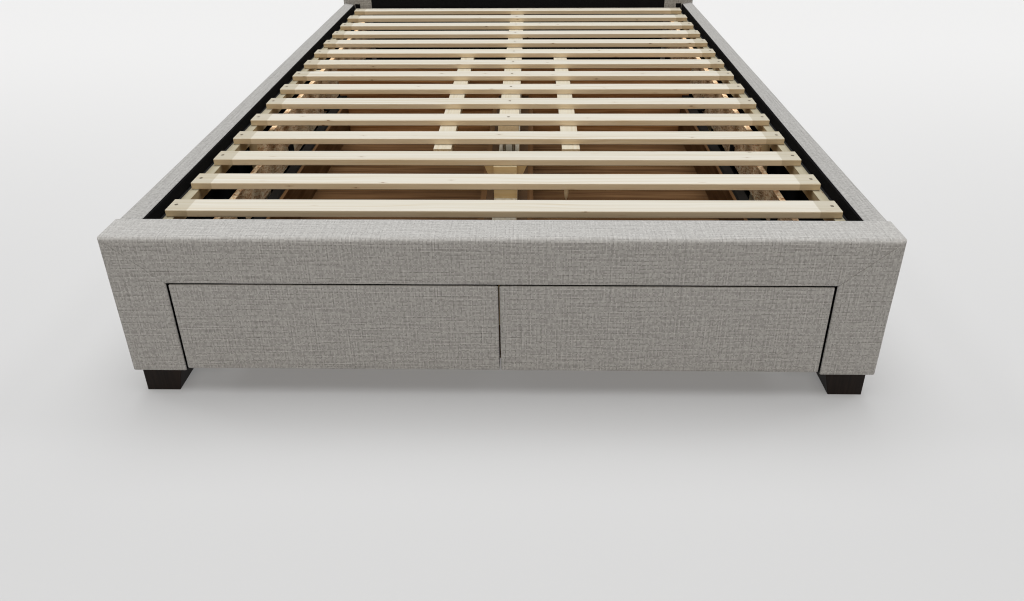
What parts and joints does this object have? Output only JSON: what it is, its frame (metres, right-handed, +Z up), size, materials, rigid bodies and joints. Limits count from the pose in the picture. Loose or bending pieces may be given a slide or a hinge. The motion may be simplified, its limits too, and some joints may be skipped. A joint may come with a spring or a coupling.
{
  "type": "platform bed with storage drawers",
  "caption": "Queen-size upholstered platform bed: slatted base inside fabric-covered rails, with two long handleless drawers in the foot end and block feet.",
  "frame": {"origin": "on the floor under the centre of the bed's outline", "axes": "+X to the right seen from the foot end, +Y from the foot end towards the head end, +Z up; the drawers open along -Y"},
  "size_m": [1.64, 2.19, 0.468],
  "materials": {
    "upholstery_fabric": "light grey linen-look weave over thin foam",
    "core_board": "raw particle board, hidden under the fabric",
    "black_lining": "black non-woven dust lining",
    "espresso_wood": "dark espresso satin lacquer",
    "pine": "planed raw pine",
    "strand_board": "raw oriented strand board",
    "hardboard": "smooth brown hardboard",
    "drawer_board": "board with brown wood-grain inner faces and matt black edges and outer faces",
    "black_steel": "black powder coat",
    "zinc_steel": "zinc plated"
  },
  "bodies": {
    "bed_frame": {"foot_top_board": "core_board", "foot_posts": "core_board", "foot_cover_top": "upholstery_fabric", "foot_cover_left": "upholstery_fabric", "foot_cover_right": "upholstery_fabric", "side_cover_left": "upholstery_fabric", "side_cover_right": "upholstery_fabric", "head_cover": "upholstery_fabric", "side_rail_left": "core_board", "side_rail_right": "core_board", "head_panel": "core_board", "inner_lining": "black_lining", "front_leg_left": "espresso_wood", "front_leg_right": "espresso_wood", "rear_leg_left": "espresso_wood", "rear_leg_right": "espresso_wood", "slat_01": "pine", "slat_02": "pine", "slat_03": "pine", "slat_04": "pine", "slat_05": "pine", "slat_06": "pine", "slat_07": "pine", "slat_08": "pine", "slat_09": "pine", "slat_10": "pine", "slat_11": "pine", "slat_12": "pine", "slat_13": "pine", "slat_14": "pine", "slat_15": "pine", "slat_screws": "zinc_steel", "ledgers": "pine", "centre_beam": "pine", "support_battens": "pine", "centre_stringer": "pine", "stringer_blocks": "pine", "centre_legs": "black_steel", "side_boards": "strand_board", "ledger_posts": "pine", "cross_board": "hardboard", "dust_cover": "black_lining", "bracket_bolts": "zinc_steel", "corner_brackets": "black_steel", "fixed_runners": "black_steel", "runner_brackets": "black_steel"},
    "left_drawer": {"drawer_left_front": "core_board", "drawer_left_cover": "upholstery_fabric", "drawer_left_sides": "drawer_board", "drawer_left_back": "drawer_board", "drawer_left_bottom": "hardboard", "drawer_left_runners": "black_steel"},
    "right_drawer": {"drawer_right_front": "core_board", "drawer_right_cover": "upholstery_fabric", "drawer_right_sides": "drawer_board", "drawer_right_back": "drawer_board", "drawer_right_bottom": "hardboard", "drawer_right_runners": "black_steel"}
  },
  "joints": [
    {"name": "left_drawer_slide", "type": "slide", "parent": "bed_frame", "child": "left_drawer", "axis": [0, -1, 0], "range_m": [0, 0.75]},
    {"name": "right_drawer_slide", "type": "slide", "parent": "bed_frame", "child": "right_drawer", "axis": [0, -1, 0], "range_m": [0, 0.75]}
  ]
}
